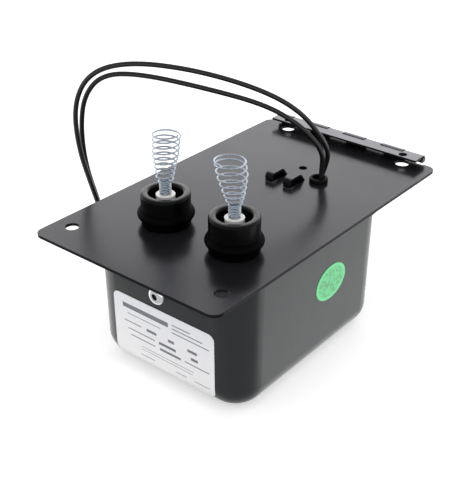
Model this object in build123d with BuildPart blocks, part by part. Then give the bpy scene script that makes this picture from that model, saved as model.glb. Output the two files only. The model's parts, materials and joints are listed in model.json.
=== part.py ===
"""Ignition transformer for an oil burner, standing on the bottom of its can.

Millimetres, +Z up. X runs along the short front edge of the base plate, Y from the front edge to
the hinge. The origin is under the middle of the object, on the surface that it stands on.
"""
from build123d import *
import math
import os

# Base plate
plate_width = 114.3
plate_length = 188.0
plate_thickness = 1.5
plate_corner_radius = 5.3
plate_top = 72.0

# Hinge at the back edge of the plate
pin_radius = 0.9
pin_clearance = 0.05
pin_head_radius = 1.5
pin_head_length = 0.6
leaf_thickness = 1.2
leaf_depth = 8.75
leaf_top_height = 5.2
leaf_inset_left = 8.2
leaf_inset_right = 8.6
leaf_notch_gap = 0.3
knuckle_pitch = 25.2
leaf_knuckle_width = 11.2
knuckle_side_gap = 0.3
end_knuckle_extra = 0.9
hinge_axis_inset = 0.25
plate_bend_radius = 1.5
leaf_knuckle_turn = 270
plate_knuckle_turn = 250

# Holes in the plate and the leaf
front_hole_radius = 3.5
front_hole_side_inset = 10.05
front_hole_inset = 16.1
access_hole_radius = 4.0
leaf_hole_radius = 2.4
leaf_hole_end_inset = 9.8
leaf_hole_setback = 5.6
witness_hole_radius = 2.35
witness_hole_offset = 0.25
witness_hole_gap = 0.9

# Drawn can
can_width = 96.3
can_length = 118.7
can_offset_x = 6.0
can_front_inset = 21.1
can_wall = 1.0
can_corner_radius = 16.5
can_base_radius = 12.0
can_draft = 0.65
can_flange_width = 2.4
flange_tab_width = 16.0
flange_tab_length = 6.0

# Label on the front of the can, and the oval sticker on its side
label_width = 64.5
label_offset_x = -0.2
label_top_drop = 29.6
label_bottom_drop = 66.0
label_corner_radius = 3.5
label_thickness = 0.25
label_gap = 0.1
sticker_half_length = 12.5
sticker_half_height = 9.6
sticker_behind_front = 71.0
sticker_drop = 27.9
sticker_thickness = 0.2

# Ground screw, its nut and its strap
screw_drop = 21.0
screw_offset_x = -2.1
screw_head_radius = 4.6
screw_head_height = 2.8
screw_head_rounding = 1.95
screw_radius = 2.4
screw_length = 9.0
screw_recess_radius = 1.7
screw_recess_depth = 1.4
screw_recess_taper = 12
screw_clearance = 0.2
nut_across_flats = 9.5
nut_thickness = 3.2
strap_width = 11.0
strap_thickness = 0.8
strap_above_screw = 5.5

# Bushings
bushing_spacing = 42.8
bushing_from_front = 48.95
collar_radius = 12.25
collar_foot_radius = 11.9
collar_bore_radius = 8.2
collar_lip_radius = 1.6
collar_height_left = 16.6
collar_height_right = 18.3
collar_floor_drop = 3.0
collar_tail_radius = 10.0
collar_tail_length = 9.0
plate_bore_clearance = 0.3
gasket_height = 8.5
gasket_foot_height = 1.55
gasket_radius = 14.15
gasket_foot_radius = 12.7
gasket_clearance = 0.1
porcelain_radius = 4.75
porcelain_below_rim = 1.3
porcelain_depth = 10.0
porcelain_clearance = 0.1

# Terminal studs and contact springs
stud_radius = 1.5
stud_clearance = 0.1
stud_flange_radius = 2.9
stud_flange_thickness = 0.6
stud_tail = 1.5
post_radius = 2.1
post_rounding = 1.05
post_above_collar = 2.4
spring_wire = 0.8
spring_wire_sides = 8
spring_post_clearance = 0.1
spring_seat_above_collar = 5.4
spring_seat_wall = 0.85
spring_sunk = 0.1
spring_points_per_turn = 8

# Open turns of each spring, in stages of (radius at the stage's end, height, turns)
spring_start = {"left": 110, "right": 180}
spring_stages = {
    "left": ((3.9, 1.6, 0.75), (6.2, 12.5, 5.0), (6.6, 8.0, 3.0), (6.6, 2.0, 1.0)),
    "right": ((3.4, 1.0, 0.55), (5.2, 6.0, 3.0), (7.0, 7.8, 3.0), (7.0, 8.2, 2.5)),
}

# Lanced tongues beside the leads, each with the slot that it was cut from
tongue_width = 4.4
tongue_rise = 4.5
tongue_lip = 3.0
tongue_length = 13.5
tongue_ramp = 3.6
tongue_bend_radius = 1.6
tongue_root_from_can_back = 9.6
tongue_left_offset = -4.35
tongue_right_offset = 7.3
tongue_slot_margin = 0.4

# Laminated core, with the limb that carries the coils along X
core_limb = 22.0
core_yoke = 11.0
core_window_length = 60.0
core_window_height = 15.0
core_stack = 22.0
core_above_base = 20.5
core_from_front = 72.0
rivet_radius = 2.0
rivet_head_radius = 3.4
rivet_head_height = 1.2
rivet_clearance = 0.1

# Coils, bobbins and the shunts between them
primary_length = 15.0
bobbin_wall = 1.2
bobbin_clearance = 0.3
coil_window_gap = 0.5
coil_build_primary = 11.5
coil_build_secondary = 12.0
coil_corner_radius = 5.0
shunt_thickness = 4.0
shunt_side_gap = 0.3
shunt_air_gap = 0.8

# Potting compound
potting_below_plate = 3.5
potting_gap = 0.1

# Leads
lead_radius = 1.3
lead_conductor_radius = 0.6
lead_strip_length = 10.0
lead_clearance = 0.05
lead_run_below_plate = 8.0
lead_inner_bend = 4.0
lead_landing_offset = 5.0
lead_upright = 6.0
grommet_x = 16.35
grommet_from_can_back = 6.4
grommet_radius = 5.0
grommet_neck_radius = 4.2
grommet_bore_radius = 3.5
grommet_height = 2.5
grommet_rounding = 0.85
grommet_groove_clearance = 0.05
grommet_foot = 1.5

# Frame: places worked out from the sizes above
knuckle_bore = pin_radius + pin_clearance
leaf_knuckle_radius = knuckle_bore + leaf_thickness
plate_knuckle_radius = knuckle_bore + plate_thickness
overall_length = plate_length - hinge_axis_inset + plate_knuckle_radius
front = -overall_length / 2
plate_bottom = plate_top - plate_thickness
plate_back = front + plate_length
hinge_y = plate_back - hinge_axis_inset
hinge_z = plate_top + leaf_top_height - leaf_knuckle_radius
hinge_left = -plate_width / 2 + leaf_inset_left
hinge_right = plate_width / 2 - leaf_inset_right
front_hole_spacing = plate_width - 2 * front_hole_side_inset
leaf_hole_spacing = hinge_right - hinge_left - 2 * leaf_hole_end_inset
leaf_hole_y = hinge_y - leaf_hole_setback
can_y = front + can_front_inset + can_length / 2
can_back = front + can_front_inset + can_length
flange_bottom = plate_bottom - can_wall
screw_z = plate_top - screw_drop
screw_x = can_offset_x + screw_offset_x
bushing_y = front + bushing_from_front
bushing_x = {"left": can_offset_x - bushing_spacing / 2, "right": can_offset_x + bushing_spacing / 2}
collar_top = {"left": plate_top + collar_height_left, "right": plate_top + collar_height_right}
core_y = front + core_from_front
core_z = core_above_base + core_stack / 2
core_width = core_window_length + 2 * core_yoke
core_length = core_limb + 2 * core_window_height + 2 * core_yoke
coil_half = core_limb / 2 + core_window_height - coil_window_gap
coil_half_height = core_stack / 2 + core_window_height - coil_window_gap
secondary_length = (core_window_length - primary_length) / 2 - shunt_thickness - 3 * shunt_side_gap
secondary_shift = (core_window_length - secondary_length) / 2 - shunt_side_gap
shunt_shift = (primary_length + shunt_thickness) / 2 + shunt_side_gap
potting_top = plate_top - potting_below_plate
grommet_y = can_back - grommet_from_can_back
tongue_root_y = can_back - tongue_root_from_can_back
tongue_offsets = (tongue_left_offset, tongue_right_offset)
lead_exit_z = plate_top + grommet_height

os.makedirs("parts", exist_ok=True)


def keep(part, name):
    """Label a finished piece and write it to its own file."""
    part.label = name
    export_step(part, f"parts/{name}.step")


def can_form(inset, bottom, top):
    """The can's outline, drafted and rounded, moved inwards by inset, from bottom up to top."""
    shrink = 2 * (inset + (plate_bottom - top) * math.tan(math.radians(can_draft)))
    with BuildPart() as form:
        with BuildSketch(Plane.XY.offset(top)):
            with Locations((can_offset_x, can_y)):
                RectangleRounded(can_width - shrink, can_length - shrink, can_corner_radius - inset)
        extrude(amount=-(top - bottom), taper=can_draft)
        fillet(form.edges().group_by(Axis.Z)[0], radius=can_base_radius - inset)
    return form.part


def knuckle_spans(first, last, width, gap):
    """Start and end of each knuckle along X, from the right end of the hinge to its left."""
    spans = []
    right = first
    while right > last + width / 4:
        spans.append((max(right - width + gap, last), right - gap))
        right -= knuckle_pitch
    return spans


knuckles_right = hinge_right - end_knuckle_extra
leaf_spans = knuckle_spans(knuckles_right, hinge_left, leaf_knuckle_width, knuckle_side_gap)
leaf_spans[0] = (leaf_spans[0][0], hinge_right)
plate_spans = knuckle_spans(
    knuckles_right - leaf_knuckle_width, hinge_left, knuckle_pitch - leaf_knuckle_width, knuckle_side_gap
)


# Base plate, with its rolled knuckles and lanced tongues
plate_sheet_middle = plate_top - plate_thickness / 2
knuckle_line_radius = knuckle_bore + plate_thickness / 2
bend_line_radius = plate_bend_radius + plate_thickness / 2
bend_start_y = hinge_y + knuckle_line_radius - bend_line_radius

with BuildPart() as base_plate:
    with BuildSketch(Plane.XY.offset(plate_bottom)):
        with Locations((0, front + plate_length / 2)):
            RectangleRounded(plate_width, plate_length, plate_corner_radius)
        with Locations(((hinge_left + hinge_right) / 2, plate_back)):
            Rectangle(
                hinge_right - hinge_left + 2 * knuckle_side_gap,
                2 * (plate_back - bend_start_y),
                mode=Mode.SUBTRACT,
            )
        with Locations((0, front + front_hole_inset)):
            with GridLocations(front_hole_spacing, 0, 2, 1):
                Circle(front_hole_radius, mode=Mode.SUBTRACT)
        with Locations(((hinge_left + hinge_right) / 2, leaf_hole_y)):
            with GridLocations(leaf_hole_spacing, 0, 2, 1):
                Circle(access_hole_radius, mode=Mode.SUBTRACT)
        with Locations((witness_hole_offset, can_back + witness_hole_gap + witness_hole_radius / 2)):
            Circle(witness_hole_radius, mode=Mode.SUBTRACT)
        with Locations((can_offset_x, bushing_y)):
            with GridLocations(bushing_spacing, 0, 2, 1):
                Circle(collar_tail_radius + plate_bore_clearance, mode=Mode.SUBTRACT)
        with Locations((grommet_x, grommet_y)):
            Circle(grommet_neck_radius + grommet_groove_clearance, mode=Mode.SUBTRACT)
        for tongue_x in tongue_offsets:
            with Locations((tongue_x, tongue_root_y - tongue_length / 2)):
                Rectangle(
                    tongue_width + tongue_slot_margin,
                    tongue_length + tongue_slot_margin,
                    mode=Mode.SUBTRACT,
                )
    extrude(amount=plate_thickness)
    tongue_lip_y = tongue_root_y - tongue_length + plate_thickness / 2
    for tongue_x in tongue_offsets:
        with BuildSketch(Plane.YZ.offset(tongue_x)):
            with BuildLine() as tongue_line:
                FilletPolyline(
                    (tongue_root_y + plate_thickness, plate_sheet_middle),
                    (tongue_root_y, plate_sheet_middle),
                    (tongue_root_y - tongue_ramp, plate_sheet_middle + tongue_rise),
                    (tongue_lip_y, plate_sheet_middle + tongue_rise),
                    (tongue_lip_y, plate_sheet_middle + tongue_rise - tongue_lip),
                    radius=tongue_bend_radius,
                )
            trace(tongue_line.line, plate_thickness)
        extrude(amount=tongue_width / 2, both=True)
    for span_left, span_right in plate_spans:
        with BuildSketch(Plane.YZ.offset(span_left)):
            with BuildLine() as knuckle_line:
                bend_start = (bend_start_y, plate_sheet_middle)
                Line((bend_start_y - plate_thickness, plate_sheet_middle), bend_start)
                RadiusArc(
                    bend_start,
                    (bend_start_y + bend_line_radius, plate_sheet_middle + bend_line_radius),
                    -bend_line_radius,
                )
                Line(
                    (bend_start_y + bend_line_radius, plate_sheet_middle + bend_line_radius),
                    (hinge_y + knuckle_line_radius, hinge_z),
                )
                CenterArc((hinge_y, hinge_z), knuckle_line_radius, 0, plate_knuckle_turn)
            trace(knuckle_line.line, plate_thickness)
        extrude(amount=span_right - span_left)
keep(base_plate.part, "base_plate")


# Hinge leaf, folded back over the plate
leaf_line_radius = knuckle_bore + leaf_thickness / 2
leaf_middle_z = hinge_z + leaf_line_radius
leaf_front_y = hinge_y - leaf_depth
leaf_notch_y = hinge_y - plate_knuckle_radius - leaf_notch_gap

with BuildPart() as hinge_leaf:
    with BuildSketch(Plane.XY.offset(leaf_middle_z - leaf_thickness / 2)):
        with Locations(((hinge_left + hinge_right) / 2, (leaf_front_y + leaf_notch_y) / 2)):
            Rectangle(hinge_right - hinge_left, leaf_notch_y - leaf_front_y)
        with Locations(((hinge_left + hinge_right) / 2, leaf_hole_y)):
            with GridLocations(leaf_hole_spacing, 0, 2, 1):
                Circle(leaf_hole_radius, mode=Mode.SUBTRACT)
    extrude(amount=leaf_thickness)
    for span_left, span_right in leaf_spans:
        with BuildSketch(Plane.YZ.offset(span_left)):
            with BuildLine() as roll_line:
                Line((leaf_notch_y - leaf_notch_gap, leaf_middle_z), (hinge_y, leaf_middle_z))
                CenterArc((hinge_y, hinge_z), leaf_line_radius, 90, -leaf_knuckle_turn)
            trace(roll_line.line, leaf_thickness)
        extrude(amount=span_right - span_left)
keep(hinge_leaf.part, "hinge_leaf")


# Hinge pin, with an upset head outside each end knuckle
with BuildPart() as hinge_pin:
    with BuildSketch(Plane.YZ.offset(hinge_left - pin_head_length)):
        with Locations((hinge_y, hinge_z)):
            Circle(pin_radius)
    extrude(amount=hinge_right - hinge_left + 2 * pin_head_length)
    for head_x in (hinge_left - pin_head_length, hinge_right + pin_clearance):
        with BuildSketch(Plane.YZ.offset(head_x)):
            with Locations((hinge_y, hinge_z)):
                Circle(pin_head_radius)
        extrude(amount=pin_head_length - pin_clearance)
keep(hinge_pin.part, "hinge_pin")


# Can, drawn in one piece with a flange that is spot-welded under the plate
with BuildPart() as can:
    add(can_form(0, 0, plate_bottom))
    with BuildSketch(Plane.XY.offset(flange_bottom)):
        with Locations((can_offset_x, can_y)):
            RectangleRounded(
                can_width + 2 * can_flange_width,
                can_length + 2 * can_flange_width,
                can_corner_radius + can_flange_width,
            )
        with Locations((witness_hole_offset, can_back)):
            Rectangle(flange_tab_width, 2 * flange_tab_length)
    extrude(amount=can_wall)
    add(can_form(can_wall, can_wall, plate_bottom), mode=Mode.SUBTRACT)
    with BuildSketch(Plane.XZ.offset(-can_y)):
        with Locations((screw_x, screw_z)):
            Circle(screw_radius + screw_clearance)
    extrude(amount=can_length, mode=Mode.SUBTRACT)
keep(can.part, "can")


# Label, which follows the front of the can down onto its rounded base
label_outer = can_form(-label_gap - label_thickness, -label_gap - label_thickness, plate_bottom)
label_inner = can_form(-label_gap, -label_gap, plate_bottom)

with BuildPart() as label:
    with BuildSketch(Plane.XZ.offset(-can_y)):
        with Locations(
            (can_offset_x + label_offset_x, plate_top - (label_top_drop + label_bottom_drop) / 2)
        ):
            RectangleRounded(label_width, label_bottom_drop - label_top_drop, label_corner_radius)
    extrude(amount=can_length)
    add(label_outer, mode=Mode.INTERSECT)
    add(label_inner, mode=Mode.SUBTRACT)
keep(label.part, "label")


# Oval sticker on the flat right side of the can
with BuildPart() as side_sticker:
    with BuildSketch(Plane.YZ.offset(can_offset_x)):
        with Locations((front + can_front_inset + sticker_behind_front, plate_top - sticker_drop)):
            Ellipse(sticker_half_length, sticker_half_height)
    extrude(amount=can_width)
    add(can_form(-sticker_thickness, -sticker_thickness, plate_bottom), mode=Mode.INTERSECT)
    add(can_form(0, 0, plate_bottom), mode=Mode.SUBTRACT)
keep(side_sticker.part, "side_sticker")


# Ground screw through the front of the can, with its nut and the strap to the core
def wall_y(drop, inset):
    """Y of the can's front wall at a drop below the plate's top, moved inwards by inset."""
    lean = (drop - plate_thickness) * math.tan(math.radians(can_draft))
    return front + can_front_inset + lean + inset


strap_y = wall_y(screw_drop + nut_across_flats, can_wall) + strap_thickness / 2 + potting_gap
nut_y = strap_y + strap_thickness / 2
head_y = wall_y(screw_drop - screw_head_radius, 0)
core_front_y = core_y - core_length / 2

with BuildPart() as ground_screw:
    with BuildSketch(Plane.XZ.offset(-head_y)):
        with Locations((screw_x, screw_z)):
            Circle(screw_head_radius)
    extrude(amount=screw_head_height)
    fillet(ground_screw.edges().group_by(Axis.Y)[0], radius=screw_head_rounding)
    with BuildSketch(Plane.XZ.offset(-head_y + screw_head_height)):
        with Locations((screw_x, screw_z)):
            Circle(screw_recess_radius)
    extrude(amount=-screw_recess_depth, taper=screw_recess_taper, mode=Mode.SUBTRACT)
    with BuildSketch(Plane.XZ.offset(-head_y)):
        with Locations((screw_x, screw_z)):
            Circle(screw_radius)
    extrude(amount=-screw_length)
keep(ground_screw.part, "ground_screw")

with BuildPart() as ground_nut:
    with BuildSketch(Plane.XZ.offset(-nut_y)):
        with Locations((screw_x, screw_z)):
            RegularPolygon(nut_across_flats / 2, 6, major_radius=False)
            Circle(screw_radius, mode=Mode.SUBTRACT)
    extrude(amount=-nut_thickness)
keep(ground_nut.part, "ground_nut")

with BuildPart() as ground_strap:
    with BuildSketch(Plane.YZ.offset(screw_x)):
        with BuildLine() as strap_line:
            FilletPolyline(
                (strap_y, screw_z + strap_above_screw),
                (strap_y, screw_z - strap_above_screw),
                (core_front_y - strap_thickness / 2, core_z + core_stack / 4),
                (core_front_y - strap_thickness / 2, core_z - core_stack / 4),
                radius=2 * strap_thickness,
            )
        trace(strap_line.line, strap_thickness)
    extrude(amount=strap_width / 2, both=True)
    with BuildSketch(Plane.XZ.offset(-strap_y + strap_thickness)):
        with Locations((screw_x, screw_z)):
            Circle(screw_radius + screw_clearance)
    extrude(amount=-2 * strap_thickness, mode=Mode.SUBTRACT)
keep(ground_strap.part, "ground_strap")


# Laminated core: an E with its limbs along X, and the bar that closes it
core_left = can_offset_x - core_width / 2
bar_x = can_offset_x + core_width / 2 - core_yoke / 2
rivet_points = [
    (can_offset_x + side * (core_width - core_yoke) / 2, core_y + end * (core_length - core_yoke) / 2)
    for side in (-1, 1)
    for end in (-1, 1)
]

with BuildPart() as core_e_stack:
    with BuildSketch(Plane.XY.offset(core_z - core_stack / 2)):
        with Locations((core_left + (core_width - core_yoke) / 2, core_y)):
            Rectangle(core_width - core_yoke, core_length)
        with Locations((can_offset_x, core_y)):
            with GridLocations(0, core_limb + core_window_height, 1, 2):
                Rectangle(core_window_length, core_window_height, mode=Mode.SUBTRACT)
        with Locations(*rivet_points[:2]):
            Circle(rivet_radius + rivet_clearance, mode=Mode.SUBTRACT)
    extrude(amount=core_stack)
keep(core_e_stack.part, "core_e_stack")

with BuildPart() as core_i_stack:
    with BuildSketch(Plane.XY.offset(core_z - core_stack / 2)):
        with Locations((bar_x, core_y)):
            Rectangle(core_yoke, core_length)
        with Locations(*rivet_points[2:]):
            Circle(rivet_radius + rivet_clearance, mode=Mode.SUBTRACT)
    extrude(amount=core_stack)
keep(core_i_stack.part, "core_i_stack")

with BuildPart() as core_rivets:
    with BuildSketch(Plane.XY.offset(core_z - core_stack / 2 - rivet_head_height)):
        with Locations(*rivet_points):
            Circle(rivet_head_radius)
    extrude(amount=rivet_head_height)
    with BuildSketch(Plane.XY.offset(core_z - core_stack / 2)):
        with Locations(*rivet_points):
            Circle(rivet_radius)
    extrude(amount=core_stack)
    with BuildSketch(Plane.XY.offset(core_z + core_stack / 2)):
        with Locations(*rivet_points):
            Circle(rivet_head_radius)
    extrude(amount=rivet_head_height)
keep(core_rivets.part, "core_rivets")

with BuildPart() as magnetic_shunts:
    shunt_height = core_window_height - shunt_air_gap
    with BuildSketch(Plane.XY.offset(core_z - core_stack / 2)):
        for window in (-1, 1):
            shunt_y = core_y + window * (core_limb / 2 + core_window_height - shunt_height / 2)
            with Locations((can_offset_x, shunt_y)):
                with GridLocations(2 * shunt_shift, 0, 2, 1):
                    Rectangle(shunt_thickness, shunt_height)
    extrude(amount=core_stack)
keep(magnetic_shunts.part, "magnetic_shunts")


# Coils, each a bobbin on the middle limb and the winding between its flanges
def bobbin(centre_x, length):
    inner_y = core_limb + 2 * bobbin_clearance
    inner_z = core_stack + 2 * bobbin_clearance
    with BuildPart() as body:
        with BuildSketch(Plane.YZ.offset(centre_x - length / 2)):
            with Locations((core_y, core_z)):
                Rectangle(inner_y + 2 * bobbin_wall, inner_z + 2 * bobbin_wall)
        extrude(amount=length)
        for flange_x in (centre_x - length / 2, centre_x + length / 2 - bobbin_wall):
            with BuildSketch(Plane.YZ.offset(flange_x)):
                with Locations((core_y, core_z)):
                    Rectangle(2 * coil_half, 2 * coil_half_height)
            extrude(amount=bobbin_wall)
        with BuildSketch(Plane.YZ.offset(centre_x - length / 2)):
            with Locations((core_y, core_z)):
                Rectangle(inner_y, inner_z)
        extrude(amount=length, mode=Mode.SUBTRACT)
    return body.part


def winding(centre_x, length, build):
    inner_y = core_limb + 2 * (bobbin_clearance + bobbin_wall)
    inner_z = core_stack + 2 * (bobbin_clearance + bobbin_wall)
    with BuildPart() as turns:
        with BuildSketch(Plane.YZ.offset(centre_x - length / 2 + bobbin_wall)):
            with Locations((core_y, core_z)):
                RectangleRounded(inner_y + 2 * build, inner_z + 2 * build, coil_corner_radius)
                Rectangle(inner_y, inner_z, mode=Mode.SUBTRACT)
        extrude(amount=length - 2 * bobbin_wall)
    return turns.part


keep(bobbin(can_offset_x, primary_length), "primary_bobbin")
keep(winding(can_offset_x, primary_length, coil_build_primary), "primary_coil")
for side, sign in (("left", -1), ("right", 1)):
    coil_x = can_offset_x + sign * secondary_shift
    keep(bobbin(coil_x, secondary_length), f"secondary_bobbin_{side}")
    keep(winding(coil_x, secondary_length, coil_build_secondary), f"secondary_coil_{side}")


# Bushings: collar, gasket, porcelain tube, terminal stud and contact spring on one axis
secondary_top = core_z + core_stack / 2 + bobbin_clearance + bobbin_wall + coil_build_secondary
collar_floor = plate_top - collar_floor_drop
tail_bottom = plate_top - collar_tail_length
porcelain_bottom = plate_top - porcelain_depth
stud_bottom = porcelain_bottom - stud_tail
spring_inner_radius = post_radius + spring_post_clearance
spring_seat_radius = spring_inner_radius + spring_wire / 2
porcelain_top = {side: collar_top[side] - porcelain_below_rim for side in collar_top}

for side in ("left", "right"):
    axis_line = Axis((bushing_x[side], bushing_y, 0), (0, 0, 1))
    axis_plane = Plane((bushing_x[side], bushing_y, 0), x_dir=(1, 0, 0), z_dir=(0, -1, 0))
    rim = collar_top[side]
    porcelain_end = porcelain_top[side]
    seat_bottom = porcelain_end + stud_flange_thickness

    with BuildPart() as collar:
        with BuildSketch(axis_plane):
            with BuildLine():
                Polyline(
                    (porcelain_radius + porcelain_clearance, tail_bottom),
                    (collar_tail_radius, tail_bottom),
                    (collar_tail_radius, plate_top),
                    (collar_foot_radius, plate_top),
                    (collar_foot_radius, plate_top + gasket_height),
                    (collar_radius, plate_top + gasket_height),
                    (collar_radius, rim),
                    (collar_bore_radius, rim),
                    (collar_bore_radius, collar_floor),
                    (porcelain_radius + porcelain_clearance, collar_floor),
                    close=True,
                )
            make_face()
        revolve(axis=axis_line)
        fillet(collar.edges().filter_by(GeomType.CIRCLE).group_by(Axis.Z)[-1], radius=collar_lip_radius)
    keep(collar.part, f"bushing_collar_{side}")

    with BuildPart() as gasket:
        gasket_bore = collar_foot_radius + gasket_clearance
        with BuildSketch(axis_plane):
            with BuildLine():
                Line((gasket_bore, plate_top), (gasket_foot_radius, plate_top))
                Line((gasket_foot_radius, plate_top), (gasket_foot_radius, plate_top + gasket_foot_height))
                ThreePointArc(
                    (gasket_foot_radius, plate_top + gasket_foot_height),
                    (gasket_radius, plate_top + (gasket_foot_height + gasket_height) / 2),
                    (gasket_bore, plate_top + gasket_height),
                )
                Line((gasket_bore, plate_top + gasket_height), (gasket_bore, plate_top))
            make_face()
        revolve(axis=axis_line)
    keep(gasket.part, f"bushing_gasket_{side}")

    with BuildPart() as porcelain:
        with BuildSketch(Plane.XY.offset(porcelain_bottom)):
            with Locations((bushing_x[side], bushing_y)):
                Circle(porcelain_radius)
                Circle(stud_radius + stud_clearance, mode=Mode.SUBTRACT)
        extrude(amount=porcelain_end - porcelain_bottom)
    keep(porcelain.part, f"porcelain_tube_{side}")

    with BuildPart() as stud:
        with BuildSketch(axis_plane):
            with BuildLine():
                Polyline(
                    (0, stud_bottom),
                    (stud_radius, stud_bottom),
                    (stud_radius, porcelain_end),
                    (stud_flange_radius, porcelain_end),
                    (stud_flange_radius, seat_bottom),
                    (post_radius, seat_bottom),
                    (post_radius, rim + post_above_collar),
                    (0, rim + post_above_collar),
                    close=True,
                )
            make_face()
        revolve(axis=axis_line)
        fillet(stud.edges().filter_by(GeomType.CIRCLE).group_by(Axis.Z)[-1], radius=post_rounding)
    keep(stud.part, f"terminal_stud_{side}")

    with BuildPart() as hv_lead:
        with BuildSketch(Plane.XY.offset(secondary_top)):
            with Locations((bushing_x[side], bushing_y)):
                Circle(stud_radius / 2)
        extrude(amount=stud_bottom - secondary_top)
    keep(hv_lead.part, f"hv_lead_{side}")


# Contact springs: a close-wound seat on the post, then one wire that flares upwards in open turns
def coil_points(centre, base_z, base_radius, start, stages):
    """Points along a coil that starts at an angle in degrees and grows evenly over each of its stages."""
    angle = math.radians(start)
    points = [(centre[0] + base_radius * math.cos(angle), centre[1] + base_radius * math.sin(angle), base_z)]
    for end_radius, height, turns in stages:
        steps = round(turns * spring_points_per_turn)
        for step in range(1, steps + 1):
            share = step / steps
            radius = base_radius + (end_radius - base_radius) * share
            turned = angle + 2 * math.pi * turns * share
            points.append(
                (centre[0] + radius * math.cos(turned), centre[1] + radius * math.sin(turned), base_z + height * share)
            )
        base_z += height
        base_radius = end_radius
        angle += 2 * math.pi * turns
    return points


for side, stages in spring_stages.items():
    centre = (bushing_x[side], bushing_y)
    seat_bottom = porcelain_top[side] + stud_flange_thickness
    seat_top = collar_top[side] + spring_seat_above_collar
    start_z = seat_top - spring_wire / 2 - spring_sunk
    with BuildPart() as spring:
        with BuildSketch(Plane.XY.offset(seat_bottom)):
            with Locations(centre):
                Circle(spring_inner_radius + spring_seat_wall)
                Circle(spring_inner_radius, mode=Mode.SUBTRACT)
        extrude(amount=seat_top - seat_bottom)
        with BuildLine() as path:
            Spline(*coil_points(centre, start_z, spring_seat_radius, spring_start[side], stages))
        with BuildSketch(Plane(path.line @ 0, z_dir=path.line % 0)):
            RegularPolygon(spring_wire / 2, spring_wire_sides)
        sweep(path=path.line, is_frenet=True)
    keep(spring.part, f"contact_spring_{side}")


# Leads: routes from the grommet's middle, as (right of it, behind it, height above the table)
lead_rest_z = lead_radius + lead_clearance
lead_offsets = {
    "upper": (
        (0.35, 2.1, lead_exit_z),
        (1.85, 3.3, lead_exit_z + lead_upright),
        (3.45, 3.0, 88.2),
        (2.05, -1.5, 98.1),
        (-6.05, -11.9, 114.6),
        (-21.85, -24.7, 125.8),
        (-46.85, -44.7, 135.4),
        (-71.35, -64.6, 139.4),
        (-86.95, -77.5, 134.2),
        (-94.15, -83.2, 118.0),
        (-93.85, -83.1, 94.0),
        (-89.15, -79.3, 69.0),
        (-84.35, -74.8, 44.5),
        (-82.35, -69.3, 21.5),
        (-82.85, -56.8, 4.2),
        (-84.35, -37.8, lead_rest_z),
        (-88.85, -18.3, lead_rest_z),
        (-90.35, 0.7, lead_rest_z),
    ),
    "lower": (
        (1.75, -0.3, lead_exit_z),
        (1.75, -0.3, lead_exit_z + lead_upright),
        (2.5, -0.8, 88.6),
        (-0.85, -4.9, 97.5),
        (-8.55, -10.9, 107.0),
        (-21.85, -21.0, 116.6),
        (-46.35, -39.7, 124.9),
        (-71.35, -58.7, 131.6),
        (-86.15, -69.9, 131.0),
        (-94.15, -75.9, 120.0),
        (-96.75, -77.7, 102.0),
        (-95.75, -77.1, 80.0),
        (-91.35, -73.5, 57.5),
        (-88.85, -70.3, 34.0),
        (-89.35, -62.3, 12.5),
        (-91.85, -46.3, lead_rest_z),
        (-95.85, -27.8, lead_rest_z),
        (-95.35, -6.8, lead_rest_z),
        (-98.85, 14.7, lead_rest_z),
    ),
}
lead_routes = {
    name: [(grommet_x + x, grommet_y + y, z) for x, y, z in offsets] for name, offsets in lead_offsets.items()
}


# Leads inside the can, from the primary coil up through the grommet
primary_top = core_z + core_stack / 2 + bobbin_clearance + bobbin_wall + coil_build_primary
lead_run_z = plate_top - lead_run_below_plate
lead_landings = {
    "upper": (can_offset_x - lead_landing_offset / 2, core_y + core_limb / 2),
    "lower": (can_offset_x + lead_landing_offset / 2, core_y + core_limb / 2),
}


def inner_lead(name, radius):
    """The lead inside the can, as a solid of the given radius, in line with the free lead's first run."""
    land_x, land_y = lead_landings[name]
    exit_point, next_point = (Vector(*point) for point in lead_routes[name][:2])
    rise = (next_point - exit_point) / lead_upright
    with BuildPart() as lead:
        with BuildLine() as path:
            FilletPolyline(
                (land_x, land_y, primary_top),
                (land_x, land_y, lead_run_z),
                exit_point - rise * (lead_exit_z - lead_run_z),
                exit_point,
                radius=lead_inner_bend,
            )
        with BuildSketch(Plane(path.line @ 0, z_dir=path.line % 0)):
            Circle(radius)
        sweep(path=path.line)
    return lead.part


for name in lead_routes:
    keep(inner_lead(name, lead_radius), f"inner_lead_{name}")

with BuildPart() as lead_grommet:
    with BuildSketch(Plane.XY.offset(plate_bottom - grommet_foot)):
        with Locations((grommet_x, grommet_y)):
            Circle(grommet_radius)
    extrude(amount=grommet_foot - grommet_groove_clearance)
    with BuildSketch(Plane.XY.offset(plate_bottom - grommet_foot)):
        with Locations((grommet_x, grommet_y)):
            Circle(grommet_neck_radius)
    extrude(amount=grommet_foot + plate_thickness + grommet_height)
    with BuildSketch(Plane.XY.offset(plate_top + grommet_groove_clearance)):
        with Locations((grommet_x, grommet_y)):
            Circle(grommet_radius)
    extrude(amount=grommet_height - grommet_groove_clearance)
    fillet(lead_grommet.edges().filter_by(GeomType.CIRCLE).group_by(Axis.Z)[-1], radius=grommet_rounding)
    with BuildSketch(Plane.XY.offset(lead_exit_z)):
        with Locations((grommet_x, grommet_y)):
            Circle(grommet_bore_radius)
    extrude(amount=-(grommet_height + plate_thickness + grommet_foot), mode=Mode.SUBTRACT)
keep(lead_grommet.part, "lead_grommet")


# Free leads: each rises from the grommet, arches over the left edge and lies on the table behind
def bend_radii(points):
    """The largest arc at each point of a route: 0.45 of the shorter run over the tangent of half the turn."""
    radii = []
    for before, corner, after in zip(points, points[1:], points[2:]):
        run_in = Vector(*corner) - Vector(*before)
        run_out = Vector(*after) - Vector(*corner)
        turn = math.radians(run_in.get_angle(run_out))
        radii.append(0.45 * min(run_in.length, run_out.length) / math.tan(turn / 2))
    return radii


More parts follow.
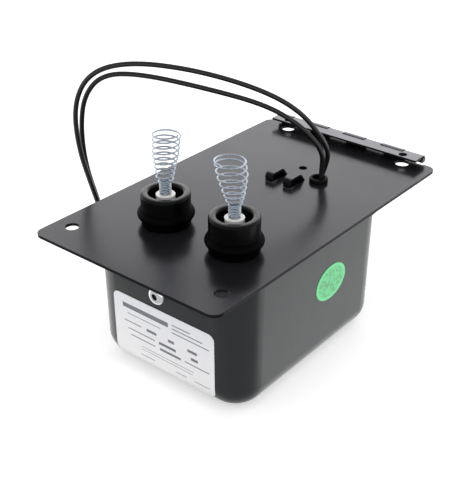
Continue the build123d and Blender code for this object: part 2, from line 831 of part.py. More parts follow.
for name, route in lead_routes.items():
    radii = bend_radii(route)
    with BuildPart() as supply_lead:
        with BuildLine() as path:
            FilletPolyline(*route, radius=radii)
        with BuildSketch(Plane(path.line @ 0, z_dir=path.line % 0)):
            Circle(lead_radius)
        sweep(path=path.line)
    keep(supply_lead.part, f"supply_lead_{name}")
    lead_length = sum(edge.length for edge in path.edges())
    tube_volume = math.pi * lead_radius**2 * lead_length
    print(name, "lead: length", round(lead_length, 1), "bends", [round(radius, 1) for radius in radii])
    print(name, "lead: volume", round(supply_lead.part.volume, 1), "against", round(tube_volume, 1))
    with BuildPart() as lead_end:
        with BuildSketch(Plane(path.line @ 1, z_dir=path.line % 1)):
            Circle(lead_conductor_radius)
        extrude(amount=lead_strip_length)
    keep(lead_end.part, f"lead_end_{name}")


# Potting compound, cast round everything below the plate
def block(low, high):
    """A plain block between two corners."""
    with BuildPart() as body:
        with BuildSketch(Plane.XY.offset(low[2])):
            with Locations(((low[0] + high[0]) / 2, (low[1] + high[1]) / 2)):
                Rectangle(high[0] - low[0], high[1] - low[1])
        extrude(amount=high[2] - low[2])
    return body.part


def rod(x, y, radius, bottom):
    """An upright rod from bottom to the compound's top, with the gap round it."""
    with BuildPart() as body:
        with BuildSketch(Plane.XY.offset(bottom)):
            with Locations((x, y)):
                Circle(radius + potting_gap)
        extrude(amount=potting_top - bottom)
    return body.part


core_low = (can_offset_x - core_width / 2, core_y - core_length / 2, core_z - core_stack / 2)
core_high = (can_offset_x + core_width / 2, core_y + core_length / 2, core_z + core_stack / 2)
coils_low = (can_offset_x - core_window_length / 2, core_y - coil_half, core_z - coil_half_height)
coils_high = (can_offset_x + core_window_length / 2, core_y + coil_half, core_z + coil_half_height)
strap_low = (screw_x - strap_width / 2, strap_y - strap_thickness, core_z - core_stack / 4)
strap_high = (screw_x + strap_width / 2, core_front_y, screw_z + strap_above_screw)

with BuildPart() as potting_compound:
    add(can_form(can_wall + potting_gap, can_wall + potting_gap, potting_top))
    add(block(core_low, core_high), mode=Mode.SUBTRACT)
    add(block(coils_low, coils_high), mode=Mode.SUBTRACT)
    add(block(strap_low, strap_high), mode=Mode.SUBTRACT)
    for rivet_x, rivet_y in rivet_points:
        for head_z in (core_z - core_stack / 2 - rivet_head_height, core_z + core_stack / 2):
            low = (rivet_x - rivet_head_radius, rivet_y - rivet_head_radius, head_z)
            high = (rivet_x + rivet_head_radius, rivet_y + rivet_head_radius, head_z + rivet_head_height)
            add(block(low, high), mode=Mode.SUBTRACT)
    for side in ("left", "right"):
        for radius, bottom in (
            (collar_tail_radius, tail_bottom),
            (porcelain_radius, porcelain_bottom),
            (stud_radius, secondary_top),
        ):
            add(rod(bushing_x[side], bushing_y, radius, bottom), mode=Mode.SUBTRACT)
    for name in lead_routes:
        add(inner_lead(name, lead_radius + potting_gap), mode=Mode.SUBTRACT)
keep(potting_compound.part, "potting_compound")
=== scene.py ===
import json
import math

import bpy
from mathutils import Matrix, Vector


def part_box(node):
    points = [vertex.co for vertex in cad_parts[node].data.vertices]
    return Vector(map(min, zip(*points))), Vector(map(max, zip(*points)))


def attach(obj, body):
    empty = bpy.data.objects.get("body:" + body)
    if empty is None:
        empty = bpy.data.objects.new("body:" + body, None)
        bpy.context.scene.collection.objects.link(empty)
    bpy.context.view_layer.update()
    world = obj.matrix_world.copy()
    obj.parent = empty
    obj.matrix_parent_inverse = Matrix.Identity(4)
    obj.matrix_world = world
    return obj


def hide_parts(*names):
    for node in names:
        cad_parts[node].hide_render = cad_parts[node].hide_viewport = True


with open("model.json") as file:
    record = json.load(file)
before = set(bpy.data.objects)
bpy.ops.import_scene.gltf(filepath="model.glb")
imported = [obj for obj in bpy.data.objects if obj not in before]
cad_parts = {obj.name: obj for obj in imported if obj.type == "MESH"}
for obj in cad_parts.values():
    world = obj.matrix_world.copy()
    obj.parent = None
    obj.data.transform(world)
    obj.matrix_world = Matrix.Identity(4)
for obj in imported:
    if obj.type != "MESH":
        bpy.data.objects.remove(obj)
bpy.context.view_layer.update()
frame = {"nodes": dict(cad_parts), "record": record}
nodes = frame["nodes"]

MM = 0.001
BODY = "transformer"

# Top of the plate, and the line behind which its sheet and the leaf's are rolled into knuckles
PLATE_TOP = 72.0
ROLL_START = 90.05


def mm(x, y, z):
    """A point of the row frame, from millimetres."""
    return Vector((x * MM, y * MM, z * MM))


def add_object(name, data):
    """A new object of the scene that holds the given data."""
    item = bpy.data.objects.new(name, data)
    bpy.context.scene.collection.objects.link(item)
    return item


# Camera at the photograph's angle: its place, and its right, down and forward directions
CAMERA_PLACE = mm(266.38, -342.08, 291.74)
CAMERA_RIGHT = Vector((0.777841, 0.628435, 0.005753))
CAMERA_DOWN = Vector((0.312861, -0.37927, -0.870789))
CAMERA_FORWARD = Vector((-0.545052, 0.679135, -0.491624))
SENSOR_WIDTH = 36.0
LENS = 71.80
CLIP_NEAR = 0.01
CLIP_FAR = 20.0


def make_camera():
    """The scene's camera, with its own axes along the three directions."""
    data = bpy.data.cameras.new("camera")
    data.sensor_fit = "HORIZONTAL"
    data.sensor_width = SENSOR_WIDTH
    data.lens = LENS
    data.clip_start = CLIP_NEAR
    data.clip_end = CLIP_FAR
    camera = add_object("camera", data)
    turn = Matrix((CAMERA_RIGHT, -CAMERA_DOWN, -CAMERA_FORWARD)).transposed().to_4x4()
    camera.matrix_world = Matrix.Translation(CAMERA_PLACE) @ turn
    bpy.context.scene.camera = camera


def round_wire(name, kind, places, diameter, roundness):
    """A curve of round wire with closed ends, along places in millimetres."""
    curve = bpy.data.curves.new(name, "CURVE")
    curve.dimensions = "3D"
    curve.bevel_depth = diameter / 2 * MM
    curve.bevel_resolution = roundness
    curve.use_fill_caps = True
    spline = curve.splines.new(kind)
    spline.points.add(len(places) - 1)
    for point, place in zip(spline.points, places):
        point.co = (*mm(*place), 1.0)
    return curve


# Free leads, as control points in millimetres
LEAD_DIAMETER = 2.6
LEAD_REST = 1.35
LEAD_ROUNDNESS = 6
LEAD_ORDER = 3
LEAD_STEPS = 24
LEAD_ROUTES = {
    "upper": (
        (16.7, 40.4, 74.5),
        (18.2, 41.6, 80.5),
        (19.8, 41.3, 88.2),
        (18.4, 36.8, 98.1),
        (10.3, 26.4, 114.6),
        (-5.5, 13.6, 125.8),
        (-30.5, -6.4, 135.4),
        (-55.0, -26.3, 139.4),
        (-70.6, -39.2, 134.2),
        (-77.8, -44.9, 118.0),
        (-77.5, -44.8, 94.0),
        (-72.8, -41.0, 69.0),
        (-68.0, -36.5, 44.5),
        (-66.0, -31.0, 21.5),
        (-66.5, -18.5, 4.2),
        (-68.0, 0.5, LEAD_REST),
        (-72.5, 20.0, LEAD_REST),
        (-74.0, 39.0, LEAD_REST),
    ),
    "lower": (
        (18.1, 38.0, 74.5),
        (18.1, 38.0, 80.5),
        (18.85, 37.5, 88.6),
        (15.5, 33.4, 97.5),
        (7.8, 27.4, 107.0),
        (-5.5, 17.3, 116.6),
        (-30.0, -1.4, 124.9),
        (-55.0, -20.4, 131.6),
        (-69.8, -31.6, 131.0),
        (-77.8, -37.6, 120.0),
        (-80.4, -39.4, 102.0),
        (-79.4, -38.8, 80.0),
        (-75.0, -35.2, 57.5),
        (-72.5, -32.0, 34.0),
        (-73.0, -24.0, 12.5),
        (-75.5, -8.0, LEAD_REST),
        (-79.5, 10.5, LEAD_REST),
        (-79.0, 31.5, LEAD_REST),
        (-82.5, 53.0, LEAD_REST),
    ),
}


def free_lead(name):
    """One supply lead, a round tube on a smooth line along its route."""
    route = LEAD_ROUTES[name]
    curve = round_wire(f"lead_{name}", "NURBS", route, LEAD_DIAMETER, LEAD_ROUNDNESS)
    curve.resolution_u = LEAD_STEPS
    spline = curve.splines[0]
    spline.order_u = LEAD_ORDER
    spline.use_endpoint_u = True
    curve.materials.append(MATERIALS["lead_jacket"])
    lead = add_object(f"lead_{name}", curve)
    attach(lead, BODY)
    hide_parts(f"supply_lead_{name}")


# Contact springs, in millimetres: a close-wound seat on the post, then open turns that flare upwards.
# Start is the angle in degrees where the open turns begin, a stage is (radius at its end, height, turns),
# above is what the top stands over the CAD spring's, and lean is the top's offset, reached by a power.
SPRING_WIRE = 0.8
SPRING_ROUNDNESS = 4
SPRING_STEPS_PER_TURN = 28
SPRING_SEAT_RADIUS = 2.6
SPRING_SEAT_PITCH = 0.82
SPRING_BEND = 1.5
SPRINGS = {
    "left": {
        "start": 110,
        "stages": (
            (3.9, 1.6, 0.75),
            (6.2, 13.2, 5.0),
            (6.6, 8.7, 3.0),
            (6.6, 2.0, 1.0),
        ),
        "above": 1.4,
        "lean": (1.1, 0.9),
    },
    "right": {
        "start": 180,
        "stages": (
            (3.4, 1.0, 0.55),
            (5.2, 6.0, 2.5),
            (7.0, 8.0, 2.5),
            (7.0, 6.1, 1.75),
            (7.0, 1.2, 1.0),
        ),
        "above": -0.7,
        "lean": (-1.7, -1.4),
    },
}


def spring_places(side):
    """Places along one spring's wire: its seat's turns, then the open turns, which lean a little."""
    low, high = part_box(f"contact_spring_{side}")
    post_low, post_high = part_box(f"porcelain_tube_{side}")
    centre = (post_low + post_high) / 2 / MM
    open_stages = SPRINGS[side]["stages"]
    open_height = sum(height for radius, height, turns in open_stages)
    lean_x, lean_y = SPRINGS[side]["lean"]
    z = low.z / MM + SPRING_WIRE / 2
    seat_height = high.z / MM + SPRINGS[side]["above"] - SPRING_WIRE / 2 - open_height - z
    seat_turns = seat_height / SPRING_SEAT_PITCH
    open_bottom = z + seat_height
    radius = SPRING_SEAT_RADIUS
    angle = math.radians(SPRINGS[side]["start"]) - 2 * math.pi * seat_turns
    places = []
    for end_radius, height, turns in ((SPRING_SEAT_RADIUS, seat_height, seat_turns), *open_stages):
        steps = round(turns * SPRING_STEPS_PER_TURN)
        for step in range(steps):
            share = step / steps
            around = angle + 2 * math.pi * turns * share
            here = radius + (end_radius - radius) * share
            up = z + height * share
            bent = max(0.0, (up - open_bottom) / open_height) ** SPRING_BEND
            place_x = centre.x + lean_x * bent + here * math.cos(around)
            place_y = centre.y + lean_y * bent + here * math.sin(around)
            places.append((place_x, place_y, up))
        radius = end_radius
        z += height
        angle += 2 * math.pi * turns
    return places


def contact_spring(side):
    """One whole contact spring as one round wire."""
    curve = round_wire(f"spring_{side}", "POLY", spring_places(side), SPRING_WIRE, SPRING_ROUNDNESS)
    curve.materials.append(MATERIALS["spring_steel"])
    spring = add_object(f"spring_{side}", curve)
    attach(spring, BODY)
    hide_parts(f"contact_spring_{side}")


# Beads round the collars' feet, in millimetres: bore radius, and outline as (radius, height)
BEAD_BORE = 12.0
BEAD_OUTLINE = (
    (12.2, 0.0), (12.2, 0.9), (12.35, 1.8), (12.75, 2.7), (13.35, 3.5), (13.85, 4.3),
    (14.1, 5.0), (14.1, 5.6), (13.9, 6.3), (13.45, 7.1), (12.85, 7.9), (12.2, 8.5),
)
BEAD_STEPS = 96


def collar_bead(side):
    """The rubber bead of one collar, turned round its axis, with a foot that tapers in."""
    low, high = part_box(f"bushing_gasket_{side}")
    centre = (low + high) / 2 / MM
    ring = (*BEAD_OUTLINE, (BEAD_BORE, BEAD_OUTLINE[-1][1]), (BEAD_BORE, 0.0))
    places = []
    faces = []
    for step in range(BEAD_STEPS):
        turn = 2 * math.pi * step / BEAD_STEPS
        here = step * len(ring)
        there = (step + 1) % BEAD_STEPS * len(ring)
        for index, (radius, height) in enumerate(ring):
            place_x = centre.x + radius * math.cos(turn)
            place_y = centre.y + radius * math.sin(turn)
            places.append(mm(place_x, place_y, PLATE_TOP + height))
            after = (index + 1) % len(ring)
            faces.append((here + index, there + index, there + after, here + after))
    mesh = bpy.data.meshes.new(f"bead_{side}")
    mesh.from_pydata(places, [], faces)
    for face in mesh.polygons:
        face.use_smooth = True
    mesh.materials.append(MATERIALS["gasket_rubber"])
    bead = add_object(f"bead_{side}", mesh)
    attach(bead, BODY)
    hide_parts(f"bushing_gasket_{side}")


# Colour sockets of the mix node, which share their names with its number sockets
MIX_FIRST = 6
MIX_SECOND = 7
MIX_RESULT = 2

# Stretch of a noise's factor that nearly all its values lie in
NOISE_FROM = 0.3
NOISE_TO = 0.7

# Upward part of a normal over which a face goes from edge to flat
FLAT_FROM = 0.7
FLAT_TO = 0.93

# Height over the plate from which a knuckle counts as rolled, in millimetres
ROLL_CLEAR = 0.3

# Depths of the bumps in grain and orange peel, glaze and fibres, and the samples of the rounded edges
GRAIN_DEPTH = 0.02 * MM
GLAZE_DEPTH = 0.03 * MM
FIBRE_DEPTH = 0.01 * MM
BEVEL_SAMPLES = 4


class Tree:
    """Adds and links the nodes of one material or world."""

    def __init__(self, owner):
        owner.use_nodes = True
        self.nodes = owner.node_tree.nodes
        self.links = owner.node_tree.links

    def add(self, kind, **values):
        """A new node with its own settings."""
        node = self.nodes.new(kind)
        for key, value in values.items():
            setattr(node, key, value)
        return node

    def feed(self, socket, value):
        """Link a socket to another node's output, or give it a value."""
        if isinstance(value, bpy.types.NodeSocket):
            self.links.new(value, socket)
        else:
            socket.default_value = value

    def calculate(self, operation, *values):
        """Result of a math node on outputs and numbers."""
        node = self.add("ShaderNodeMath", operation=operation)
        for socket, value in zip(node.inputs, values):
            self.feed(socket, value)
        return node.outputs["Value"]

    def calculate_vector(self, operation, *values):
        """Result of a vector math node: a number for a length or a dot product, and else a vector."""
        node = self.add("ShaderNodeVectorMath", operation=operation)
        for socket, value in zip(node.inputs, values):
            self.feed(socket, value)
        return node.outputs["Value" if operation in ("LENGTH", "DOT_PRODUCT") else "Vector"]

    def split(self, vector):
        """The X, Y and Z outputs of a vector."""
        node = self.add("ShaderNodeSeparateXYZ")
        self.feed(node.inputs["Vector"], vector)
        return node.outputs

    def map_range(self, value, start, end, low, high, kind="SMOOTHSTEP"):
        """A level that goes from low at start to high at end."""
        node = self.add("ShaderNodeMapRange", interpolation_type=kind)
        self.feed(node.inputs["Value"], value)
        node.inputs["From Min"].default_value = start
        node.inputs["From Max"].default_value = end
        node.inputs["To Min"].default_value = low
        node.inputs["To Max"].default_value = high
        return node.outputs["Result"]


class Looks(Tree):
    """The nodes of one new material of the object, round its Principled shader."""

    def __init__(self, name):
        self.material = bpy.data.materials.new(name)
        super().__init__(self.material)
        self.shader = self.nodes["Principled BSDF"]
        coordinates = self.add("ShaderNodeTexCoord")
        self.place = coordinates.outputs["Object"]
        self.facing = coordinates.outputs["Normal"]

    def set(self, **values):
        """Values or outputs for the shader's own sockets."""
        for key, value in values.items():
            self.feed(self.shader.inputs[key.replace("_", " ")], value)

    def noise(self, scale, detail, rough, stretch=None):
        """Factor of a noise in the object's place, drawn out along an axis where stretch is small."""
        node = self.add("ShaderNodeTexNoise")
        node.inputs["Scale"].default_value = scale
        node.inputs["Detail"].default_value = detail
        node.inputs["Roughness"].default_value = rough
        place = self.place
        if stretch:
            mapping = self.add("ShaderNodeMapping")
            self.feed(mapping.inputs["Vector"], place)
            self.feed(mapping.inputs["Scale"], stretch)
            place = mapping.outputs["Vector"]
        self.feed(node.inputs["Vector"], place)
        return node.outputs["Fac"]

    def ramp(self, source, low, high, start=0.0, end=1.0):
        """Map a factor's stretch from start to end onto two colours or two grey levels."""
        node = self.add("ShaderNodeValToRGB")
        node.color_ramp.elements[0].position = start
        node.color_ramp.elements[1].position = end
        for element, level in zip(node.color_ramp.elements, (low, high)):
            element.color = (*level, 1.0) if isinstance(level, tuple) else (level, level, level, 1.0)
        self.feed(node.inputs["Fac"], source)
        return node.outputs["Color"]

    def spread(self, noise, low, high):
        """Map a noise onto two colours or two grey levels."""
        return self.ramp(noise, low, high, NOISE_FROM, NOISE_TO)

    def mix(self, factor, first, second):
        """Mix two colours or outputs."""
        node = self.add("ShaderNodeMix", data_type="RGBA")
        self.feed(node.inputs["Factor"], factor)
        for index, value in ((MIX_FIRST, first), (MIX_SECOND, second)):
            self.feed(node.inputs[index], (*value, 1.0) if isinstance(value, tuple) else value)
        return node.outputs[MIX_RESULT]

    def bump(self, height, distance, strength, edge=None):
        """Bump from a height, over edges that the bevel node rounds by a radius."""
        node = self.add("ShaderNodeBump")
        node.inputs["Strength"].default_value = strength
        node.inputs["Distance"].default_value = distance
        self.feed(node.inputs["Height"], height)
        if edge:
            bevel = self.add("ShaderNodeBevel", samples=BEVEL_SAMPLES)
            bevel.inputs["Radius"].default_value = edge
            self.feed(node.inputs["Normal"], bevel.outputs["Normal"])
        self.set(Normal=node.outputs["Normal"])

    def near_axis(self, axis_x, axis_z, radius):
        """One within a radius of an axis along Y, zero outside it."""
        offset = self.calculate_vector("SUBTRACT", self.place, (axis_x, 0.0, axis_z))
        across = self.calculate_vector("MULTIPLY", offset, (1.0, 0.0, 1.0))
        return self.calculate("LESS_THAN", self.calculate_vector("LENGTH", across), radius)

    def rolled(self):
        """One on the hinge's rolled knuckles, above the plate and behind the leaf's flat part."""
        place = self.split(self.place)
        behind = self.calculate("GREATER_THAN", place["Y"], ROLL_START * MM)
        above = self.calculate("GREATER_THAN", place["Z"], (PLATE_TOP + ROLL_CLEAR) * MM)
        return self.calculate("MULTIPLY", behind, above)

    def flatness(self, rolled=None):
        """One on flat faces, zero on cut edges and, where rolled, on all that doesn't face up."""
        upward = self.split(self.facing)["Z"]
        faces = self.calculate("ABSOLUTE", upward)
        if rolled is not None:
            faces = self.mix(rolled, faces, self.calculate("MAXIMUM", upward, 0.0))
        return self.ramp(faces, 0.0, 1.0, FLAT_FROM, FLAT_TO)


def shaded(color, factor):
    """A colour made darker or brighter by a factor."""
    return tuple(value * factor for value in color)


# Painted shade on cut edges and on knuckle faces that don't face up, with its low shine, the shine of
# flat faces, and the leaf's colour, a painted sheen also put on the tops of all rolled knuckles
EDGE_PAINTED_SHADE = (0.008, 0.008, 0.009)
EDGE_SHINE = 0.06
FACE_SHINE = 0.5
LEAF_PAINTED_SHEEN = (0.17, 0.166, 0.182)


def enamel(name, level, rough, tint, index, edge=None, roll_shine=None):
    """Black baked enamel with orange peel, specks and uneven gloss; with roll_shine, painted shade and
    low shine on cut edges and on knuckle faces that don't face up, and a painted sheen on the knuckles'
    tops.
    """
    paint = Looks(name)
    cloud = paint.noise(scale=45.0, detail=5.0, rough=0.6)
    dust = paint.noise(scale=900.0, detail=3.0, rough=0.6)
    peel = paint.noise(scale=420.0, detail=2.0, rough=0.5)
    base = paint.spread(cloud, shaded(level, factor=0.82), level)
    specks = paint.ramp(dust, 0.0, 1.0, start=0.72, end=0.86)
    coat = paint.mix(specks, base, shaded(level, factor=1.6))
    paint.set(Roughness=paint.spread(cloud, *rough), IOR=index, Specular_Tint=(*tint, 1.0))
    # Painted shade on edges and on the knuckles' undersides, and painted sheen in the leaf's light tone
    # on the knuckles' tops
    if roll_shine:
        rolled = paint.rolled()
        flat = paint.flatness(rolled)
        coat = paint.mix(flat, EDGE_PAINTED_SHADE, paint.mix(rolled, coat, LEAF_PAINTED_SHEEN))
        sheet_shine = paint.ramp(flat, EDGE_SHINE, FACE_SHINE)
        knuckle_shine = paint.ramp(flat, EDGE_SHINE, roll_shine)
        paint.set(Specular_IOR_Level=paint.mix(rolled, sheet_shine, knuckle_shine))
    paint.set(Base_Color=coat)
    paint.bump(peel, GRAIN_DEPTH, strength=0.3, edge=edge)
    return paint.material


# Ground screw's axis and its recess, in millimetres, and the painted shade, faintly green, that darkens
# the recess
SCREW_X = 3.9
SCREW_Z = 51.0
RECESS_RADIUS = 1.6
RECESS_PAINTED_SHADE = (0.1, 0.13, 0.13)


def metal(name, color, rough, grain, stretch=None, edge=None, recess=False):
    """Plated or bare metal with a fine grain, drawn out where stretched, and with recess set, painted
    shade in a screw's recess.
    """
    part = Looks(name)
    cloud = part.noise(scale=180.0, detail=4.0, rough=0.55)
    lines = part.noise(scale=grain, detail=3.0, rough=0.6, stretch=stretch)
    face = part.ramp(cloud, shaded(color, factor=0.72), color, start=0.25, end=0.6)
    if recess:
        # Painted shade: a dark disc over the screw's recess
        recess_shade = part.near_axis(SCREW_X * MM, SCREW_Z * MM, RECESS_RADIUS * MM)
        face = part.mix(recess_shade, face, RECESS_PAINTED_SHADE)
    part.set(Base_Color=face, Roughness=part.spread(lines, *rough), Metallic=1.0)
    part.bump(lines, GRAIN_DEPTH, strength=0.4, edge=edge)
    return part.material


def moulded(name, color, rough, grain=700.0, shine=0.5, painted_lip_highlight=None):
    """Moulded rubber or resin: a fine matt grain with a soft shine, and where asked a painted highlight:
    far more shine on faces that lie flat, such as a collar's lip.
    """
    part = Looks(name)
    cloud = part.noise(scale=90.0, detail=4.0, rough=0.6)
    fine = part.noise(scale=grain, detail=3.0, rough=0.6)
    part.set(Base_Color=part.spread(cloud, shaded(color, factor=0.75), color))
    part.set(Roughness=part.spread(fine, *rough), Specular_IOR_Level=shine)
    # Painted highlight: shine on faces that lie flat raised far above that of the walls
    if painted_lip_highlight:
        part.set(Specular_IOR_Level=part.ramp(part.flatness(), shine, painted_lip_highlight))
    part.bump(fine, GRAIN_DEPTH, strength=0.4)
    return part.material


def glaze(name, color):
    """White glazed porcelain with small specks and a clear top coat."""
    part = Looks(name)
    dust = part.noise(scale=1500.0, detail=2.0, rough=0.5)
    cloud = part.noise(scale=160.0, detail=3.0, rough=0.5)
    base = part.spread(cloud, shaded(color, factor=0.93), color)
    specks = part.ramp(dust, 0.0, 1.0, start=0.78, end=0.82)
    part.set(Base_Color=part.mix(specks, base, shaded(color, factor=0.6)))
    part.set(Roughness=part.spread(cloud, 0.16, 0.28), Coat_Weight=0.6, Coat_Roughness=0.08)
    part.bump(cloud, GLAZE_DEPTH, strength=0.4)
    return part.material


def paper_tone(part, color):
    """A paper colour with faint clouds."""
    cloud = part.noise(scale=60.0, detail=3.0, rough=0.5)
    return part.spread(cloud, shaded(color, factor=0.965), color)


def paper_fibres(part, rough, stretch=None):
    """Give a part the roughness and the faint bump of paper fibres."""
    fibre = part.noise(scale=1400.0, detail=4.0, rough=0.65, stretch=stretch)
    part.set(Roughness=part.spread(fibre, *rough))
    part.bump(fibre, FIBRE_DEPTH, strength=0.3)


def pressed_board(name, color, rough):
    """Pressed paper board, with fibres that run one way."""
    part = Looks(name)
    part.set(Base_Color=paper_tone(part, color))
    paper_fibres(part, rough, stretch=(1.0, 1.0, 3.0))
    return part.material


# Satin face of the label and the sticker
SATIN = (0.35, 0.5)

# Bare label: plain grey rules in place of print, as (left, right, bottom, top) in millimetres
# from the label's lower left corner
LABEL_RULES = (
    (6.0, 36.0, 29.0, 31.6),
    (9.0, 31.0, 25.9, 26.3),
    (38.4, 50.0, 31.2, 31.8),
    (38.4, 57.5, 29.1, 29.7),
    (38.4, 61.5, 26.8, 27.4),
    (6.5, 18.0, 21.0, 21.6),
    (21.5, 28.0, 20.4, 22.0),
    (35.5, 39.5, 20.4, 22.0),
    (48.0, 54.0, 20.4, 22.0),
    (9.0, 27.0, 16.8, 17.4),
    (29.5, 40.5, 16.3, 17.9),
    (50.0, 54.5, 16.3, 17.9),
    (10.5, 27.0, 13.4, 14.0),
    (30.0, 43.5, 13.0, 14.4),
    (46.0, 61.5, 13.4, 14.0),
    (17.5, 52.0, 9.5, 9.8),
    (17.5, 51.0, 7.9, 8.2),
    (16.5, 26.0, 4.4, 4.8),
    (40.0, 47.0, 4.4, 4.8),
    (52.0, 61.5, 4.4, 4.8),
)
# Grey of the rules, the stock's white at the label's foot, and painted shade at its head under the plate
LABEL_INK = (0.2, 0.2, 0.24)
LABEL_FOOT = (1.0, 0.995, 1.0)
LABEL_HEAD_PAINTED_SHADE = (0.92, 0.925, 0.96)


def bare_label(name, low, high):
    """White label stock with painted shade that darkens it towards its head, under the plate, and plain
    rules where a label has its print.
    """
    part = Looks(name)
    place = part.split(part.place)
    ink = 0.0
    for left, right, bottom, top in LABEL_RULES:
        centre_x = low.x + (left + right) / 2 * MM
        centre_z = low.z + (bottom + top) / 2 * MM
        across = part.calculate("COMPARE", place["X"], centre_x, (right - left) / 2 * MM)
        upward = part.calculate("COMPARE", place["Z"], centre_z, (top - bottom) / 2 * MM)
        ink = part.calculate("MAXIMUM", ink, part.calculate("MULTIPLY", across, upward))
    # Painted shade: the stock darkens from the label's foot up to its head
    shade_rise = part.map_range(place["Z"], low.z, high.z, 0.0, 1.0, kind="LINEAR")
    stock = part.mix(shade_rise, paper_tone(part, LABEL_FOOT), paper_tone(part, LABEL_HEAD_PAINTED_SHADE))
    part.set(Base_Color=part.mix(ink, stock, LABEL_INK))
    paper_fibres(part, SATIN)
    return part.material


# Oval sticker: a clear rim, and a mottled field in place of print. The field ends at this share of the
# sticker's half widths and goes over into the rim within the soft share.
STICKER_RIM = (0.17, 0.82, 0.325)
STICKER_LIGHT = (0.16, 0.72, 0.3)
STICKER_DARK = (0.13, 0.43, 0.19)
STICKER_FIELD = 0.82
RIM_SOFT = 0.04


def oval_sticker(name, low, high):
    """Satin green stock with a plain brighter rim round a mottled field."""
    part = Looks(name)
    half = (high - low) / 2
    offset = part.calculate_vector("SUBTRACT", part.place, (low + high) / 2)
    share = part.calculate_vector("DIVIDE", offset, (1.0, half.y, half.z))
    reach = part.calculate_vector("LENGTH", share)
    rim = part.ramp(reach, 0.0, 1.0, STICKER_FIELD, STICKER_FIELD + RIM_SOFT)
    mottle = part.noise(scale=620.0, detail=2.0, rough=0.5)
    field = part.ramp(mottle, STICKER_DARK, STICKER_LIGHT, start=0.36, end=0.56)
    part.set(Base_Color=part.mix(rim, field, STICKER_RIM))
    paper_fibres(part, SATIN)
    return part.material


MATERIALS = {
    "plate_paint": enamel(
        "plate_enamel",
        (0.011, 0.011, 0.013),
        rough=(0.2, 0.27),
        tint=(0.93, 0.915, 1.0),
        index=1.57,
        edge=0.3 * MM,
        roll_shine=1.0,
    ),
    "can_paint": enamel(
        "can_enamel",
        (0.014, 0.015, 0.016),
        rough=(0.24, 0.34),
        tint=(0.94, 0.99, 1.0),
        index=1.5,
    ),
    # The leaf: the same black enamel as the plate, with a painted sheen as its light grey colour and a
    # high index for more reflection
    "leaf_paint": enamel(
        "leaf_enamel_painted_sheen",
        LEAF_PAINTED_SHEEN,
        rough=(0.34, 0.46),
        tint=(0.96, 0.94, 1.0),
        index=2.3,
        edge=0.2 * MM,
        roll_shine=0.5,
    ),
    "pin_steel": metal("pin_steel", (0.1, 0.1, 0.1), (0.4, 0.55), 900.0),
    "asphalt": moulded("asphalt", (0.012, 0.011, 0.01), (0.45, 0.8), 350.0),
    "core_steel": metal(
        "core_laminations", (0.28, 0.29, 0.32), (0.35, 0.5), 1400.0, stretch=(0.05, 0.05, 1.0)
    ),
    "rivet_steel": metal("rivet_steel", (0.5, 0.5, 0.5), (0.3, 0.5), 900.0),
    "bobbin_board": pressed_board("bobbin_board", (0.42, 0.3, 0.17), (0.6, 0.85)),
    "primary_copper": metal(
        "primary_turns", (0.5, 0.2, 0.09), (0.25, 0.4), 900.0, stretch=(1.0, 0.05, 0.05)
    ),
    "secondary_copper": metal(
        "secondary_turns", (0.45, 0.2, 0.1), (0.3, 0.45), 1800.0, stretch=(1.0, 0.05, 0.05)
    ),
    "bare_copper": metal("bare_copper", (0.75, 0.38, 0.22), (0.25, 0.4), 1500.0),
    "tinned_strap": metal("tinned_strap", (0.7, 0.69, 0.66), (0.3, 0.45), 800.0),
    "zinc_plate": metal(
        "zinc_plate", (0.96, 0.98, 1.0), (0.16, 0.3), 800.0, edge=0.2 * MM, recess=True
    ),
    "stud_steel": metal("stud_steel", (0.62, 0.65, 0.68), (0.25, 0.38), 900.0),
    "spring_steel": metal("spring_wire", (0.56, 0.63, 0.72), (0.2, 0.34), 1200.0),
    "porcelain": glaze("porcelain", (0.86, 0.86, 0.84)),
    "collar_black": moulded(
        "collar_resin", (0.002, 0.002, 0.002), (0.24, 0.34), shine=0.11, painted_lip_highlight=1.0
    ),
    "gasket_rubber": moulded("gasket_rubber", (0.001, 0.001, 0.001), (0.4, 0.55), shine=0.03),
    "grommet_rubber": moulded("grommet_rubber", (0.003, 0.003, 0.003), (0.4, 0.55), shine=0.12),
    "lead_jacket": moulded("lead_jacket", (0.004, 0.004, 0.004), (0.28, 0.4), 900.0, shine=0.6),
    "label_paper": bare_label("label_paper", *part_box("label")),
    "sticker_green": oval_sticker("sticker_green", *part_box("side_sticker")),
}


def dress_nodes():
    """Give every CAD node the material of its slot."""
    for part in frame["record"]["subparts"]:
        node = nodes[part["node"]]
        node.data.materials.clear()
        node.data.materials.append(MATERIALS[part["material_slot"]])


# White floor, with a lift that only the camera sees
FLOOR_SIZE = 6.0
FLOOR_WHITE = 0.85
FLOOR_LIFT = 0.45

# Floor as glossy paint mirrors it: dim in front of the can, bright beyond a line past its right corner
MIRROR_DIM = 0.55
MIRROR_BRIGHT = 1.45
MIRROR_ACROSS = (-0.43, 0.9, 0.0)
MIRROR_EDGE = mm(54.0, -57.0, 0.0)
MIRROR_SOFT = 0.014


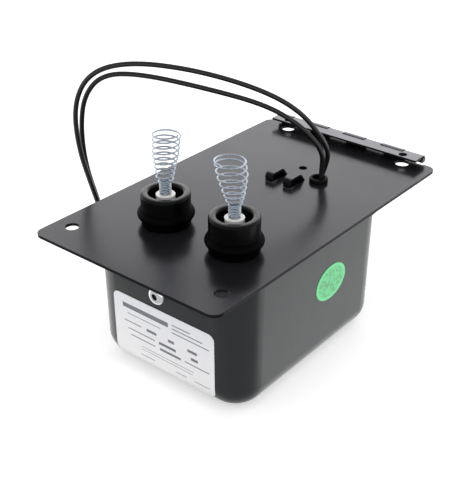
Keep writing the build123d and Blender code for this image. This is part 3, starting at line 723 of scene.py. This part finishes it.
def floor_material():
    """The floor's white, and for glossy rays its dim and its bright side."""
    material = bpy.data.materials.new("floor_white")
    tree = Tree(material)
    tree.nodes.clear()
    rays = tree.add("ShaderNodeLightPath").outputs
    surface = tree.add("ShaderNodeBsdfDiffuse")
    surface.inputs["Color"].default_value = (FLOOR_WHITE, FLOOR_WHITE, FLOOR_WHITE, 1.0)
    lift = tree.add("ShaderNodeEmission")
    tree.feed(lift.inputs["Strength"], tree.calculate("MULTIPLY", rays["Is Camera Ray"], FLOOR_LIFT))
    total = tree.add("ShaderNodeAddShader")
    tree.feed(total.inputs[0], surface.outputs[0])
    tree.feed(total.inputs[1], lift.outputs[0])
    place = tree.add("ShaderNodeTexCoord").outputs["Object"]
    across = tree.calculate_vector("DOT_PRODUCT", place, MIRROR_ACROSS)
    edge = Vector(MIRROR_ACROSS).dot(MIRROR_EDGE)
    level = tree.map_range(across, edge - MIRROR_SOFT, edge + MIRROR_SOFT, MIRROR_DIM, MIRROR_BRIGHT)
    mirrored = tree.add("ShaderNodeEmission")
    tree.feed(mirrored.inputs["Strength"], level)
    mix = tree.add("ShaderNodeMixShader")
    tree.feed(mix.inputs["Fac"], rays["Is Glossy Ray"])
    tree.feed(mix.inputs[1], total.outputs[0])
    tree.feed(mix.inputs[2], mirrored.outputs[0])
    output = tree.add("ShaderNodeOutputMaterial")
    tree.feed(output.inputs["Surface"], mix.outputs[0])
    return material


def make_floor():
    """The plain floor that the object stands on."""
    half = FLOOR_SIZE / 2
    corners = [(-half, -half, 0), (half, -half, 0), (half, half, 0), (-half, half, 0)]
    mesh = bpy.data.meshes.new("floor")
    mesh.from_pydata(corners, [], [(0, 1, 2, 3)])
    mesh.materials.append(floor_material())
    floor = add_object("floor", mesh)


# Studio light, and its wall as glossy paint mirrors it: bright near the floor and dimmer higher up
WORLD_LEVEL = 1.0
WALL_LOW = 1.15
WALL_HIGH = 0.38
WALL_FROM = 0.4
WALL_TO = 0.64


def make_world():
    """Plain white light from all round."""
    world = bpy.data.worlds.new("studio")
    bpy.context.scene.world = world
    tree = Tree(world)
    tree.nodes.clear()
    upward = tree.split(tree.add("ShaderNodeTexCoord").outputs["Generated"])["Z"]
    rays = tree.add("ShaderNodeLightPath").outputs
    mix = tree.add("ShaderNodeMix")
    tree.feed(mix.inputs["Factor"], rays["Is Glossy Ray"])
    tree.feed(mix.inputs["A"], WORLD_LEVEL)
    tree.feed(mix.inputs["B"], tree.map_range(upward, WALL_FROM, WALL_TO, WALL_LOW, WALL_HIGH))
    light = tree.add("ShaderNodeBackground")
    light.inputs["Color"].default_value = (1.0, 1.0, 1.0, 1.0)
    tree.feed(light.inputs["Strength"], mix.outputs["Result"])
    output = tree.add("ShaderNodeOutputWorld")
    tree.feed(output.inputs["Surface"], light.outputs[0])


# Softbox behind the object: the point it faces, its direction and distance from there, size and power
SOFTBOX_AIM = mm(0.0, 0.0, 50.0)
SOFTBOX_TOWARDS = Vector((-0.44, 0.72, 0.53))
SOFTBOX_DISTANCE = 1.4
SOFTBOX_WIDTH = 1.4
SOFTBOX_HEIGHT = 0.9
SOFTBOX_WATTS = 2.5


def make_softbox():
    """One area light that faces the object from behind."""
    data = bpy.data.lights.new("back_softbox", "AREA")
    data.shape = "RECTANGLE"
    data.size = SOFTBOX_WIDTH
    data.size_y = SOFTBOX_HEIGHT
    data.energy = SOFTBOX_WATTS
    light = add_object("back_softbox", data)
    back = SOFTBOX_TOWARDS.normalized()
    light.location = SOFTBOX_AIM + back * SOFTBOX_DISTANCE
    light.rotation_mode = "QUATERNION"
    light.rotation_quaternion = (-back).to_track_quat("-Z", "Y")


make_camera()
for lead_name in LEAD_ROUTES:
    free_lead(lead_name)
for bushing_side in SPRINGS:
    contact_spring(bushing_side)
    collar_bead(bushing_side)
dress_nodes()
make_floor()
make_world()
make_softbox()
bpy.context.scene.view_settings.view_transform = "Standard"
